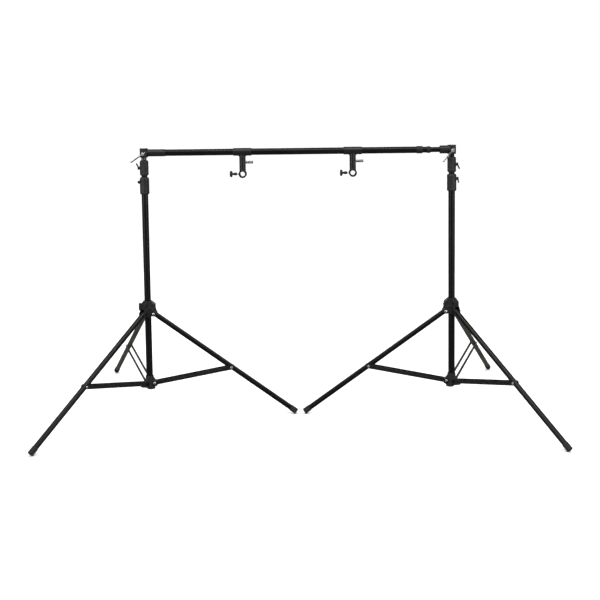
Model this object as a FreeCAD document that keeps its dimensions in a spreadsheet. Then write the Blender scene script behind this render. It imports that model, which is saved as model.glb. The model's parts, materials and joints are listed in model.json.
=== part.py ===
import FreeCAD, Part
import math
import os

import Sketcher
from FreeCAD import Placement, Rotation, Vector

# Background support set: two identical three-section tripod stands that carry a
# telescopic crossbar with two sliding brackets. Millimetres, +X along the
# crossbar, +Y away from the user, +Z up, origin on the floor under the middle.

doc = FreeCAD.newDocument("BackgroundSupport")
sheet = doc.addObject("Spreadsheet::Sheet", "Dims")

DIMENSIONS = {
    # where the two stands stand, and how far each is turned about its column
    "column_spacing": 1290.0,
    "stand_setback": 28.15,
    "left_turn": -5.2,
    "right_turn": -54.8,
    # telescopic column: three drawn tubes, one inside the other
    "base_dia": 28.0,
    "middle_dia": 25.0,
    "top_dia": 22.0,
    "tube_wall": 1.2,
    "base_low": 106.0,
    "base_top": 992.0,
    "middle_low": 120.0,
    "middle_top": 1069.0,
    "top_low": 130.0,
    "top_top": 1087.5,
    "slip": 0.3,
    "snug": 0.1,
    # legs and braces, in the upright plane of one leg
    "pivot_radius": 28.0,
    "hub_pivot": 423.4,
    "base_pivot_radius": 25.0,
    "base_pivot": 123.9,
    "foot_radius": 631.4,
    "foot_centre": 9.0,
    "leg_dia": 22.0,
    "leg_head": 4.0,
    "leg_to_rivet": 400.6,
    "foot_cap_dia": 25.0,
    "foot_cap_length": 30.0,
    "foot_cap_floor": 5.0,
    "brace_width": 17.0,
    "brace_thick": 2.5,
    "brace_gap": 22.6,
    "rivet_head_dia": 11.0,
    "rivet_head_thick": 2.0,
    # foot casting of the column
    "casting_low": 103.0,
    "casting_top": 154.0,
    "casting_dia": 35.0,
    "flange_thick": 8.0,
    "flange_width": 34.0,
    "flange_reach": 23.0,
    "web_thick": 8.0,
    "base_lug_width": 21.8,
    "base_lug_height": 22.0,
    "bolt_dia": 6.0,
    "bolt_head_dia": 12.0,
    "bolt_head_thick": 3.4,
    # sliding hub
    "hub_low": 443.0,
    "hub_top": 478.0,
    "hub_dia": 40.0,
    "fork_gap": 22.8,
    "fork_wall": 1.5,
    "fork_width": 32.0,
    "crown_width": 25.0,
    "crown_reach": 32.0,
    "hub_screw": 451.5,
    "hub_boss_dia": 16.0,
    "hub_boss_reach": 27.5,
    "hub_knob_span": 34.0,
    "hub_knob_width": 13.0,
    "hub_knob_thick": 11.0,
    # locking collars and their wing screws
    "lower_collar_low": 932.0,
    "lower_collar_top": 1004.5,
    "lower_collar_dia": 40.0,
    "upper_collar_low": 1011.5,
    "upper_collar_top": 1076.0,
    "upper_collar_dia": 37.0,
    "collar_bevel": 4.0,
    "lower_screw": 984.0,
    "upper_screw": 1044.0,
    "collar_boss_dia": 14.0,
    "collar_boss_proud": 2.5,
    "wing_screw_dia": 6.0,
    "wing_thick": 8.0,
    # top stud of the column and the socket heads of the crossbar
    "stud_dia": 16.0,
    "stud_waist_dia": 13.6,
    "stud_plug_length": 26.0,
    "stud_top": 1117.0,
    "head_low": 1087.9,
    "head_top": 1126.5,
    "left_head_dia": 34.0,
    "right_head_dia": 36.0,
    "stud_slip": 0.05,
    "head_screw": 1103.0,
    "head_screw_dia": 8.0,
    "head_boss_dia": 19.0,
    "head_boss_face": 20.0,
    "lever_boss_dia": 15.0,
    "lever_boss_length": 13.0,
    "lever_rod_dia": 6.6,
    "lever_ball_dia": 7.6,
    "lever_long": 58.0,
    "lever_short": 9.0,
    # crossbar
    "bar_axis": 1107.0,
    "outer_start": -628.0,
    "outer_end": 520.0,
    "inner_bar_start": -590.0,
    "inner_bar_end": 627.0,
    "middle_bar_start": -596.0,
    "middle_bar_end": 553.0,
    "plug_end": -602.0,
    "sleeve_end": -554.0,
    "sleeve_dia": 30.6,
    "socket_start": 595.0,
    "socket_dia": 34.4,
    "outer_ring_start": 498.0,
    "outer_ring_end": 523.5,
    "outer_ring_dia": 31.4,
    "inner_ring_start": 540.0,
    "inner_ring_end": 556.5,
    "inner_ring_dia": 28.4,
    # hanging brackets on the crossbar
    "bracket_place": 231.0,
    "saddle_length": 77.0,
    "saddle_dia": 33.0,
    "stem_dia": 27.0,
    "bracket_ring": 1014.0,
    "bracket_ring_dia": 34.0,
    "bracket_ring_depth": 30.0,
    "bracket_bore_dia": 20.0,
    "bracket_fillet": 6.0,
    "thumb_screw_dia": 6.0,
    "thumb_disc_dia": 27.0,
    "thumb_neck_dia": 12.6,
    "lock_screw": 1063.0,
    "lock_screw_dia": 8.0,
    "lock_head_dia": 12.0,
    "lock_head_length": 31.0,
}

# a leg and its brace meet at the rivet, so the brace's length follows from the rest
leg_drop = DIMENSIONS["hub_pivot"] - DIMENSIONS["foot_centre"]
leg_run = DIMENSIONS["foot_radius"] - DIMENSIONS["pivot_radius"]
leg_angle = math.atan2(leg_drop, leg_run)
rivet_run = (DIMENSIONS["pivot_radius"] + DIMENSIONS["leg_to_rivet"] * math.cos(leg_angle)
             - DIMENSIONS["base_pivot_radius"])
rivet_rise = (DIMENSIONS["hub_pivot"] - DIMENSIONS["leg_to_rivet"] * math.sin(leg_angle)
              - DIMENSIONS["base_pivot"])
brace_angle = math.atan2(rivet_rise, rivet_run)
DIMENSIONS["leg_length"] = math.hypot(leg_run, leg_drop)
DIMENSIONS["brace_length"] = math.hypot(rivet_run, rivet_rise)

for row, (alias, value) in enumerate(DIMENSIONS.items(), start=1):
    sheet.set(f"A{row}", alias.replace("_", " "))
    sheet.set(f"B{row}", str(round(value, 4)))
    sheet.setAlias(f"B{row}", alias)
doc.recompute()

ALONG = {
    "X": Rotation(Vector(0, 1, 0), 90),
    "Y": Rotation(Vector(1, 0, 0), -90),
    "Z": Rotation(),
}
nodes = {}


def dim(alias):
    """A driving dimension, read back from the sheet."""
    return float(getattr(sheet, alias))


def bind(thing, prop, formula):
    """Ties a property to a formula of the sheet's aliases, written between angle brackets."""
    thing.setExpression(prop, formula.replace("<", "Dims.").replace(">", ""))


def locate(thing, at):
    for axis, formula in zip("xyz", at):
        bind(thing, f"Placement.Base.{axis}", formula)
    return thing


def cylinder(name, radius, length, along="Z", at=("0", "0", "0")):
    thing = doc.addObject("Part::Cylinder", name)
    bind(thing, "Radius", radius)
    bind(thing, "Height", length)
    thing.Placement = Placement(Vector(), ALONG[along])
    return locate(thing, at)


def cross_pin(name, radius, length, at):
    """A cylinder that lies across the leg's plane, centred on it."""
    x, z = at
    return cylinder(name, radius, length, "Y", (x, f"-({length}) / 2", z))


def box(name, size, at):
    thing = doc.addObject("Part::Box", name)
    for prop, formula in zip(("Length", "Width", "Height"), size):
        bind(thing, prop, formula)
    return locate(thing, at)


def fuse(name, parts):
    thing = doc.addObject("Part::MultiFuse", name)
    thing.Shapes = parts
    thing.Refine = True
    return thing


def group(name, parts):
    """Loose pieces held together, so that they can be turned or cut away as one."""
    thing = doc.addObject("Part::Compound", name)
    thing.Links = parts
    return thing


def cut(name, base, tools):
    thing = doc.addObject("Part::Cut", name)
    thing.Base = base
    thing.Tool = tools[0] if len(tools) == 1 else fuse(name + "_tools", tools)
    thing.Refine = True
    return thing


def turned(thing, degrees):
    """Turns a piece about the column's axis, for the lugs, legs and bolts set 120 degrees apart."""
    thing.Placement = Placement(Vector(), Rotation(Vector(0, 0, 1), degrees)) * thing.Placement
    return thing


def keep(label, thing, placement=Placement()):
    """Names a finished sub-part and puts it in its place."""
    thing.Label = label
    thing.Placement = placement * thing.Placement
    nodes[label] = thing
    return thing


def draw(profile, points):
    """Closes straight edges through the points, and ties each point to the sheet."""
    doc.recompute()
    values = [tuple(float(sheet.evalExpression(f.replace("<", "Dims.").replace(">", ""))) for f in point)
              for point in points]
    corners = [Vector(x, y, 0) for x, y in values]
    for start, end in zip(corners, corners[1:] + corners[:1]):
        profile.addGeometry(Part.LineSegment(start, end), False)
    count = len(corners)
    for edge in range(count):
        profile.addConstraint(Sketcher.Constraint("Coincident", edge, 2, (edge + 1) % count, 1))
    for edge, (point, value) in enumerate(zip(points, values)):
        for kind, own_axis, formula, size in (
            ("DistanceX", -2, point[0], value[0]),
            ("DistanceY", -1, point[1], value[1]),
        ):
            if size == 0:
                profile.addConstraint(Sketcher.Constraint("PointOnObject", edge, 1, own_axis))
                continue
            index = profile.addConstraint(Sketcher.Constraint(kind, -1, 1, edge, 1, size))
            bind(profile, f"Constraints[{index}]", formula)
    return profile


def revolved(name, points):
    """A turned piece: its half profile (radius, height) spun about its own Z axis."""
    body = doc.addObject("PartDesign::Body", name)
    profile = body.newObject("Sketcher::SketchObject", name + "_profile")
    upright = next(f for f in body.Origin.OriginFeatures if f.Role == "XZ_Plane")
    profile.AttachmentSupport = (upright, "")
    profile.MapMode = "FlatFace"
    draw(profile, points)
    spin = body.newObject("PartDesign::Revolution", name + "_spin")
    spin.Profile = profile
    spin.ReferenceAxis = (profile, ["V_Axis"])
    spin.Angle = 360
    return body


def plate(name, points, thick):
    """A flat outline in the leg's plane (x outwards, z up), given a thickness across it."""
    profile = doc.addObject("Sketcher::SketchObject", name + "_outline")
    profile.Placement = Placement(Vector(), Rotation(Vector(1, 0, 0), 90))
    draw(profile, points)
    thing = doc.addObject("Part::Extrusion", name)
    thing.Base = profile
    thing.DirMode = "Normal"
    thing.Solid = True
    thing.Symmetric = True
    bind(thing, "LengthFwd", thick)
    return thing


def tube(name, dia, start, end, along="Z", height="0"):
    """A drawn tube between two stations of the column's or the crossbar's axis."""
    length = f"{end} - {start}"
    at = {"Z": ("0", "0", start), "X": (start, "0", height)}[along]
    outside = cylinder(name + "_outside", f"{dia} / 2", length, along, at)
    inside = cylinder(name + "_inside", f"{dia} / 2 - <tube_wall>", length, along, at)
    return cut(name, outside, [inside])


# ---- foot casting: a cup for the base tube, three lugs and a flange with lobes between them ----

def foot_casting(name):
    solids = [cylinder(name + "_cup", "<casting_dia> / 2", "<casting_top> - <casting_low>",
                       at=("0", "0", "<casting_low>"))]
    holes = [cylinder(name + "_seat", "<base_dia> / 2 + <snug>", "<casting_top> - <base_low> + 1",
                      at=("0", "0", "<base_low>"))]
    for third in range(3):
        tag = f"{name}_{third}"
        lobe = fuse(tag + "_lobe", [
            box(tag + "_flange", ("<flange_reach>", "<flange_width>", "<flange_thick>"),
                ("0", "-<flange_width> / 2", "<casting_low>")),
            cylinder(tag + "_tip", "<flange_width> / 2", "<flange_thick>",
                     at=("<flange_reach>", "0", "<casting_low>")),
        ])
        lug = fuse(tag + "_arm", [
            box(tag + "_lug", ("<base_pivot_radius>", "<base_lug_width>", "<base_lug_height>"),
                ("0", "-<base_lug_width> / 2", "<base_pivot> - <base_lug_height> / 2")),
            cross_pin(tag + "_eye", "<base_lug_height> / 2", "<base_lug_width>",
                      ("<base_pivot_radius>", "<base_pivot>")),
            plate(tag + "_web", [("<casting_dia> / 2 - 3", "<base_pivot>"),
                                 ("<base_pivot_radius> + 4", "<base_pivot> + 9"),
                                 ("<casting_dia> / 2 - 3", "<casting_top> - 4")], "<web_thick>"),
        ])
        bolt_hole = cross_pin(tag + "_hole", "<bolt_dia> / 2 + <snug>", "<base_lug_width> + 2",
                              ("<base_pivot_radius>", "<base_pivot>"))
        solids += [turned(lobe, 120 * third + 60), turned(lug, 120 * third)]
        holes.append(turned(group(tag + "_drill", [bolt_hole]), 120 * third))
    return cut(name, fuse(name + "_cast", solids), holes)


# ---- hub: slides on the base tube, three forks hold the legs, one screw locks it ----

def sliding_hub(name):
    solids = [
        cylinder(name + "_sleeve", "<hub_dia> / 2", "<hub_top> - <hub_low>", at=("0", "0", "<hub_low>")),
        cylinder(name + "_boss", "<hub_boss_dia> / 2", "<hub_boss_reach>", "X",
                 ("-<hub_boss_reach>", "0", "<hub_screw>")),
    ]
    holes = [
        cylinder(name + "_bore", "<base_dia> / 2 + <slip>", "120", at=("0", "0", "<hub_pivot> - 40")),
        cylinder(name + "_screw_hole", "<wing_screw_dia> / 2 + 0.7", "40", "X", ("-40", "0", "<hub_screw>")),
    ]
    for third in range(3):
        tag = f"{name}_{third}"
        lug = fuse(tag + "_lug", [
            plate(tag + "_fork", [
                ("6", "<hub_pivot> - 10"),
                ("<pivot_radius> + 5", "<hub_pivot> - 11"),
                ("<pivot_radius> + 10", "<hub_pivot> - 6"),
                ("<pivot_radius> + 11", "<hub_pivot> + 4"),
                ("<pivot_radius> + 6", "<hub_pivot> + 11"),
                ("<crown_reach>", "<hub_low>"),
                ("6", "<hub_low> + 8"),
            ], "<fork_width>"),
            plate(tag + "_crown", [
                ("4", "<hub_low>"),
                ("<crown_reach>", "<hub_low>"),
                ("<crown_reach>", "<hub_top> - 13"),
                ("<hub_dia> / 2 - 3", "<hub_top> - 1"),
                ("4", "<hub_top> - 1"),
            ], "<crown_width>"),
        ])
        slot = fuse(tag + "_opening", [
            box(tag + "_slot", ("60", "<fork_gap>", "60"),
                ("<base_dia> / 2 + <fork_wall>", "-<fork_gap> / 2", "<hub_low> - 60")),
            cross_pin(tag + "_hole", "<bolt_dia> / 2 + <snug>", "<fork_width> + 2",
                      ("<pivot_radius>", "<hub_pivot>")),
        ])
        solids.append(turned(lug, 120 * third))
        holes.append(turned(slot, 120 * third))
    return cut(name, fuse(name + "_cast", solids), holes)


def pivot_bolts(name, grip, radius, height):
    """Three through bolts with a domed head at each end, one for each lug of a casting."""
    bolts = []
    for third in range(3):
        tag = f"{name}_{third}"
        parts = [cross_pin(tag + "_shank", "<bolt_dia> / 2", grip, (radius, height))]
        for side, place in (("near", f"-({grip}) / 2 - <bolt_head_thick>"), ("far", f"({grip}) / 2")):
            parts.append(cylinder(f"{tag}_{side}", "<bolt_head_dia> / 2", "<bolt_head_thick>", "Y",
                                  (radius, place, height)))
        bolts.append(turned(fuse(tag, parts), 120 * third))
    return fuse(name, bolts)


def hub_knob(name, spin_degrees):
    """The hub's locking knob: a bar-shaped grip on a short screw, pointing along -X."""
    middle = "<hub_boss_reach> + 1"
    half = "<hub_knob_span> / 2 - <hub_knob_width> / 2"
    parts = [
        cylinder(name + "_screw", "<wing_screw_dia> / 2", "<hub_boss_reach> + 2 - <base_dia> / 2 - 1", "X",
                 ("-(<hub_boss_reach> + 2)", "0", "0")),
        box(name + "_grip", ("<hub_knob_thick>", "<hub_knob_width>", f"2 * ({half})"),
            (f"-({middle} + <hub_knob_thick>)", "-<hub_knob_width> / 2", f"-({half})")),
        cylinder(name + "_shoulder", "<hub_knob_width> / 2 + 1.5", "<hub_knob_thick> - 2", "X",
                 (f"-({middle} + <hub_knob_thick>) + 2", "0", "0")),
    ]
    for end, sign in (("top", ""), ("bottom", "-")):
        parts.append(cylinder(f"{name}_{end}", "<hub_knob_width> / 2", "<hub_knob_thick>", "X",
                              (f"-({middle} + <hub_knob_thick>)", "0", f"{sign}({half})")))
    thing = fuse(name, parts)
    thing.Placement = Placement(Vector(0, 0, dim("hub_screw")), Rotation(Vector(1, 0, 0), spin_degrees))
    return thing


# ---- legs, their rubber feet and their braces, drawn in the leg's upright plane ----

LEG_TURN = Rotation(Vector(0, 1, 0), 90 + math.degrees(leg_angle))


def on_leg(thing, along):
    """Lays an upright piece along the leg, its own origin at a distance from the hub pivot."""
    start = Vector(dim("pivot_radius"), 0, dim("hub_pivot"))
    thing.Placement = Placement(start + LEG_TURN.multVec(Vector(0, 0, along)), LEG_TURN)
    return thing


def leg(name):
    outside = cylinder(name + "_outside", "<leg_dia> / 2", "<leg_length> + <leg_head> - <foot_cap_floor>",
                       at=("0", "0", "-<leg_head>"))
    inside = cylinder(name + "_inside", "<leg_dia> / 2 - <tube_wall>",
                      "<leg_length> + <leg_head> - <foot_cap_floor>", at=("0", "0", "-<leg_head>"))
    hole = cross_pin(name + "_hole", "<bolt_dia> / 2 + <slip>", "<leg_dia> + 2", ("0", "0"))
    return on_leg(cut(name, outside, [inside, hole]), 0)


def foot(name):
    cap = revolved(name + "_cap", [
        ("0", "0"),
        ("<foot_cap_dia> / 2", "0"),
        ("<foot_cap_dia> / 2", "<foot_cap_length> - 1.5"),
        ("<leg_dia> / 2 + 0.6", "<foot_cap_length>"),
        ("<leg_dia> / 2 + <snug>", "<foot_cap_length>"),
        ("<leg_dia> / 2 + <snug>", "<foot_cap_floor> - <snug>"),
        ("0", "<foot_cap_floor> - <snug>"),
    ])
    upturned = LEG_TURN * Rotation(Vector(1, 0, 0), 180)
    cap.Placement = Placement(Vector(dim("foot_radius"), 0, dim("foot_centre")), upturned)
    ground = box(name + "_ground", ("200", "200", "60"), ("<foot_radius> - 100", "-100", "-60"))
    return cut(name, cap, [ground])


def brace(name):
    """A pair of flat strips that straddles the foot casting's lug and the leg."""
    parts = []
    holes = [cross_pin(name + "_hole", "<bolt_dia> / 2 + <slip>", "60", ("0", "0"))]
    for side, inner in (("near", "-<brace_gap> / 2 - <brace_thick>"), ("far", "<brace_gap> / 2")):
        tag = f"{name}_{side}"
        outer = f"{inner} - <rivet_head_thick>" if side == "near" else f"{inner} + <brace_thick>"
        parts += [
            box(tag + "_strip", ("<brace_length>", "<brace_thick>", "<brace_width>"),
                ("0", inner, "-<brace_width> / 2")),
            cylinder(tag + "_low", "<brace_width> / 2", "<brace_thick>", "Y", ("0", inner, "0")),
            cylinder(tag + "_high", "<brace_width> / 2", "<brace_thick>", "Y", ("<brace_length>", inner, "0")),
            cylinder(tag + "_rivet", "<rivet_head_dia> / 2", "<rivet_head_thick>", "Y",
                     ("<brace_length>", outer, "0")),
        ]
    thing = cut(name, fuse(name + "_pair", parts), holes)
    thing.Placement = Placement(Vector(dim("base_pivot_radius"), 0, dim("base_pivot")),
                                Rotation(Vector(0, 1, 0), -math.degrees(brace_angle)))
    return thing


# ---- collars: bevelled sleeves that grip the next tube, with a boss for the screw ----

def collar(name, low, top, dia, seat, step, bore, screw, side):
    shell = revolved(name + "_shell", [
        (seat, low),
        (f"{dia} / 2 - <collar_bevel>", low),
        (f"{dia} / 2 - 1", f"{low} + <collar_bevel> - 1"),
        (f"{dia} / 2", f"{low} + <collar_bevel> + 3"),
        (f"{dia} / 2 - 0.7", f"{top} - <collar_bevel> - 1"),
        (f"{dia} / 2 - <collar_bevel>", top),
        (bore, top),
        (bore, step),
        (seat, step),
    ])
    reach = f"{dia} / 2 + <collar_boss_proud>"
    boss_start = f"{dia} / 2 - 3"
    length = "<collar_boss_proud> + 3"
    start = {1: boss_start, -1: f"-({reach})"}[side]
    boss = cylinder(name + "_boss", "<collar_boss_dia> / 2", length, "X", (start, "0", screw))
    hole_start = {1: f"{bore} - 1", -1: f"-({reach} + 1)"}[side]
    hole = cylinder(name + "_screw_hole", "<wing_screw_dia> / 2 + <slip>", f"{reach} + 2 - ({bore})", "X",
                    (hole_start, "0", screw))
    return cut(name, fuse(name + "_cast", [shell, boss]), [hole])


def wing_screw(name, dia, inside, screw, side, spin_degrees):
    """A clamp screw along X with one long wing and one short one, both swept outwards."""
    root = f"{dia} / 2 + <collar_boss_proud> + 0.4"
    wing = plate(name + "_wing", [
        (root, "-9"),
        (f"{root} + 3.5", "-10.5"),
        (f"{root} + 5.5", "-7"),
        (f"{root} + 5", "0"),
        (f"{root} + 13.5", "17"),
        (f"{root} + 14", "20.5"),
        (f"{root} + 10.5", "21.5"),
        (f"{root} + 8", "19"),
        (root, "6"),
    ], "<wing_thick>")
    shank = cylinder(name + "_shank", "<wing_screw_dia> / 2", f"{root} + 1 - ({inside})", "X",
                     (inside, "0", "0"))
    collar_of_wing = cylinder(name + "_hub", "<wing_thick> / 2 + 2", "6", "X", (root, "0", "0"))
    thing = fuse(name, [wing, shank, collar_of_wing])
    flip = Rotation() if side > 0 else Rotation(Vector(0, 0, 1), 180)
    thing.Placement = Placement(Vector(0, 0, dim(screw)), flip * Rotation(Vector(1, 0, 0), spin_degrees))
    return thing


def stud(name):
    """The 16 mm stud on top of the column, with its plug in the top tube."""
    return revolved(name, [
        ("0", "<top_top> - <stud_plug_length>"),
        ("<top_dia> / 2 - <tube_wall> - <snug>", "<top_top> - <stud_plug_length>"),
        ("<top_dia> / 2 - <tube_wall> - <snug>", "<top_top> + 0.3"),
        ("<stud_dia> / 2", "<top_top> + 0.3"),
        ("<stud_dia> / 2", "<top_top> + 9"),
        ("<stud_waist_dia> / 2", "<top_top> + 10.5"),
        ("<stud_waist_dia> / 2", "<top_top> + 19"),
        ("<stud_dia> / 2", "<top_top> + 20.5"),
        ("<stud_dia> / 2", "<stud_top> - 1.5"),
        ("<stud_dia> / 2 - 1.5", "<stud_top>"),
        ("0", "<stud_top>"),
    ])


# ---- the two stands: same pieces, turned differently about their columns ----

def build_stand(side, x, turn, leg_names, screw_side, spins):
    at_column = Placement(Vector(x, -dim("stand_setback"), 0), Rotation())
    at_stand = at_column * Placement(Vector(), Rotation(Vector(0, 0, 1), turn))

    keep(f"{side}_base_tube", tube(f"{side}_base", "<base_dia>", "<base_low>", "<base_top>"), at_column)
    keep(f"{side}_middle_tube", tube(f"{side}_middle", "<middle_dia>", "<middle_low>", "<middle_top>"), at_column)
    keep(f"{side}_top_tube", tube(f"{side}_top", "<top_dia>", "<top_low>", "<top_top>"), at_column)
    keep(f"{side}_stud", stud(f"{side}_turned_stud"), at_column)
    keep(f"{side}_foot_casting", foot_casting(f"{side}_casting"), at_stand)
    keep(f"{side}_leg_hub", sliding_hub(f"{side}_hub"), at_stand)
    keep(f"{side}_hub_knob", hub_knob(f"{side}_hub_lock", spins["hub"]), at_stand)
    keep(f"{side}_hub_bolts", pivot_bolts(f"{side}_upper_bolt", "<fork_width>", "<pivot_radius>", "<hub_pivot>"), at_stand)
    keep(f"{side}_foot_bolts",
         pivot_bolts(f"{side}_lower_bolt", "<brace_gap> + 2 * <brace_thick> + 0.6", "<base_pivot_radius>",
                     "<base_pivot>"), at_stand)

    keep(f"{side}_lower_collar",
         collar(f"{side}_lower", "<lower_collar_low>", "<lower_collar_top>", "<lower_collar_dia>",
                "(<base_dia> / 2 + <snug>)", "<base_top> + <snug>", "(<middle_dia> / 2 + <slip>)",
                "<lower_screw>", screw_side), at_column)
    keep(f"{side}_upper_collar",
         collar(f"{side}_upper", "<upper_collar_low>", "<upper_collar_top>", "<upper_collar_dia>",
                "(<middle_dia> / 2 + <snug>)", "<middle_top> + <snug>", "(<top_dia> / 2 + <slip>)",
                "<upper_screw>", screw_side), at_column)
    keep(f"{side}_lower_knob",
         wing_screw(f"{side}_lower_wing", "<lower_collar_dia>", "<base_dia> / 2 + 1.2", "lower_screw",
                    screw_side, spins["lower"]), at_column)
    keep(f"{side}_upper_knob",
         wing_screw(f"{side}_upper_wing", "<upper_collar_dia>", "<middle_dia> / 2 + 1.2", "upper_screw",
                    screw_side, spins["upper"]), at_column)

    for third, place in enumerate(leg_names):
        at_leg = at_stand * Placement(Vector(), Rotation(Vector(0, 0, 1), 120 * third))
        keep(f"{side}_leg_{place}", leg(f"{side}_tube_{place}"), at_leg)
        keep(f"{side}_foot_{place}", foot(f"{side}_rubber_{place}"), at_leg)
        keep(f"{side}_brace_{place}", brace(f"{side}_strips_{place}"), at_leg)


half_spacing = dim("column_spacing") / 2
build_stand("left", -half_spacing, dim("left_turn"), ("inner", "back", "front"), -1,
            {"hub": 0, "lower": 90, "upper": 0})
build_stand("right", half_spacing, dim("right_turn"), ("front", "back", "inner"), 1,
            {"hub": 62, "lower": 150, "upper": 172})


# ---- crossbar: three telescopic tubes between two socket heads ----

at_bar = Placement(Vector(0, -dim("stand_setback"), 0), Rotation())
BAR_TUBES = {
    "bar_outer_tube": ("<base_dia>", "<outer_start>", "<outer_end>"),
    "bar_middle_tube": ("<middle_dia>", "<middle_bar_start>", "<middle_bar_end>"),
    "bar_inner_tube": ("<top_dia>", "<inner_bar_start>", "<inner_bar_end>"),
}
for label, (dia, start, end) in BAR_TUBES.items():
    keep(label, tube(label + "_drawn", dia, start, end, "X", "<bar_axis>"), at_bar)


def lock_ring(name, dia, start, end, tube_dia, tube_end, next_dia):
    """A twist lock: a ring over a tube's end with a lip down to the next tube."""
    body = cylinder(name + "_body", f"{dia} / 2", f"{end} - {start}", "X", (start, "0", "<bar_axis>"))
    seat = cylinder(name + "_seat", f"{tube_dia} / 2 + <slip>", f"{tube_end} - {start} + <slip> + 1", "X",
                    (f"{start} - 1", "0", "<bar_axis>"))
    lip = cylinder(name + "_lip", f"{next_dia} / 2 + <slip>", f"{end} - {start} + 2", "X",
                   (f"{start} - 1", "0", "<bar_axis>"))
    return cut(name, body, [seat, lip])


keep("bar_outer_ring", lock_ring("outer_twist", "<outer_ring_dia>", "<outer_ring_start>", "<outer_ring_end>",
                                 "<base_dia>", "<outer_end>", "<middle_dia>"), at_bar)
keep("bar_inner_ring", lock_ring("inner_twist", "<inner_ring_dia>", "<inner_ring_start>", "<inner_ring_end>",
                                 "<middle_dia>", "<middle_bar_end>", "<top_dia>"), at_bar)

sleeve_body = cylinder("end_sleeve_body", "<sleeve_dia> / 2", "<sleeve_end> - <outer_start>", "X",
                       ("<outer_start>", "0", "<bar_axis>"))
sleeve_bore = cylinder("end_sleeve_bore", "<base_dia> / 2 + <snug>", "<sleeve_end> - <outer_start>", "X",
                       ("<outer_start>", "0", "<bar_axis>"))
keep("bar_end_sleeve", cut("end_sleeve", sleeve_body, [sleeve_bore]), at_bar)


def head_shell(name, dia, centre):
    """The upright barrel that drops over a stud, with a boss in front for its lever screw."""
    barrel = cylinder(name + "_barrel", f"{dia} / 2", "<head_top> - <head_low>",
                      at=(centre, "0", "<head_low>"))
    boss = cylinder(name + "_boss", "<head_boss_dia> / 2", "<head_boss_face>", "Y",
                    (centre, "-<head_boss_face>", "<head_screw>"))
    stud_hole = cylinder(name + "_stud_hole", "<stud_dia> / 2 + <stud_slip>", "<stud_top> + 2 - <head_low> + 1",
                         at=(centre, "0", "<head_low> - 1"))
    screw_hole = cylinder(name + "_screw_hole", "<head_screw_dia> / 2 + <slip>", "<head_boss_face> + 1", "Y",
                          (centre, "-<head_boss_face> - 1", "<head_screw>"))
    return [barrel, boss], [stud_hole, screw_hole]


left_centre = "-<column_spacing> / 2"
right_centre = "<column_spacing> / 2"
solids, holes = head_shell("left_head", "<left_head_dia>", left_centre)
solids.append(cylinder("left_head_plug", "<base_dia> / 2 - <tube_wall> - <snug>",
                       "<plug_end> + <column_spacing> / 2 - 9", "X",
                       ("-<column_spacing> / 2 + 9", "0", "<bar_axis>")))
keep("left_head_casting", cut("left_head", fuse("left_head_cast", solids), holes), at_bar)

solids, holes = head_shell("right_head", "<right_head_dia>", right_centre)
solids.append(cylinder("right_head_socket", "<socket_dia> / 2", "<column_spacing> / 2 - <socket_start>", "X",
                       ("<socket_start>", "0", "<bar_axis>")))
holes.append(cylinder("right_head_bore", "<top_dia> / 2 + <snug>", "<inner_bar_end> - <socket_start> + 1.3", "X",
                      ("<socket_start> - 1", "0", "<bar_axis>")))
keep("right_head_casting", cut("right_head", fuse("right_head_cast", solids), holes), at_bar)


def lever_screw(name, centre, spin_degrees):
    """A plated screw along Y with a sliding tommy bar pushed almost through to one side."""
    back = "<stud_dia> / 2 + <slip>"
    face = "<head_boss_face> + 0.4"
    parts = [
        cylinder(name + "_shank", "<head_screw_dia> / 2", f"{face} + 1 - ({back})", "Y",
                 ("0", f"-({face} + 1)", "0")),
        cylinder(name + "_boss", "<lever_boss_dia> / 2", "<lever_boss_length>", "Y",
                 ("0", f"-({face} + <lever_boss_length>)", "0")),
        cylinder(name + "_rod", "<lever_rod_dia> / 2", "<lever_long> + <lever_short>", "X",
                 ("-<lever_long>", f"-({face} + <lever_boss_length> / 2)", "0")),
    ]
    for end, place in (("far", "-<lever_long>"), ("near", "<lever_short>")):
        ball = doc.addObject("Part::Sphere", f"{name}_{end}")
        bind(ball, "Radius", "<lever_ball_dia> / 2")
        parts.append(locate(ball, (place, f"-({face} + <lever_boss_length> / 2)", "0")))
    thing = fuse(name, parts)
    thing.Placement = Placement(Vector(centre, 0, dim("head_screw")), Rotation(Vector(0, 1, 0), spin_degrees))
    return thing


keep("left_head_screw", lever_screw("left_lever", -half_spacing, -34), at_bar)
keep("right_head_screw", lever_screw("right_lever", half_spacing, -50), at_bar)


# ---- brackets: a saddle on the bar, a stem and an open ring, with two screws ----

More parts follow.
